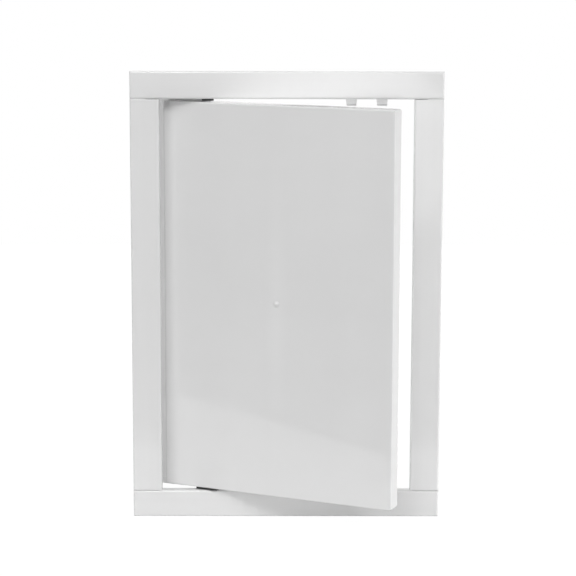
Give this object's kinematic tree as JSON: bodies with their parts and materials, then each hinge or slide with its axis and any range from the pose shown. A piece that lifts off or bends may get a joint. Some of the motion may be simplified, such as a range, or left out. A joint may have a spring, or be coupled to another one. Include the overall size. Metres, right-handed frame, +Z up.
{
  "type": "access panel",
  "caption": "White plastic access panel for a wall or ceiling: butt-jointed surround with a collar and a flush door hung on inset pivots, held shut by twin-finger catches.",
  "frame": {"origin": "middle of the opening on the wall plane, which is the back face of the flange", "axes": "+Z up along the pivot axis, +X towards the free edge of the shut door, +Y into the wall"},
  "size_m": [0.218, 0.0853, 0.318],
  "materials": {
    "surround_plastic": "glossy white moulded plastic",
    "door_plastic": "glossy white moulded plastic with faint flow marks",
    "key_plastic": "plain light grey moulded plastic",
    "catch_plastic": "natural pale grey acetal, slightly waxy",
    "pivot_plastic": "black acetal",
    "pin_steel": "bright drawn steel",
    "screw_steel": "zinc plated steel"
  },
  "bodies": {
    "surround": {"top_rail": "surround_plastic", "bottom_rail": "surround_plastic", "hinge_stile": "surround_plastic", "latch_stile": "surround_plastic", "corner_key_top_left": "key_plastic", "corner_key_top_right": "key_plastic", "corner_key_bottom_left": "key_plastic", "corner_key_bottom_right": "key_plastic", "corner_screws": "screw_steel", "upper_pivot_bush": "pivot_plastic", "lower_pivot_bush": "pivot_plastic", "upper_catch": "catch_plastic", "lower_catch": "catch_plastic", "catch_screws": "screw_steel"},
    "door": {"door_panel": "door_plastic", "upper_pivot_pin": "pin_steel", "lower_pivot_pin": "pin_steel", "lower_pivot_shoe": "pivot_plastic"}
  },
  "joints": [
    {"name": "door_swing", "type": "hinge", "parent": "surround", "child": "door", "pos_m": [-0.055, 0.00325, 0], "axis": [0, 0, -1], "range_deg": [-24.5, 125.5]}
  ]
}
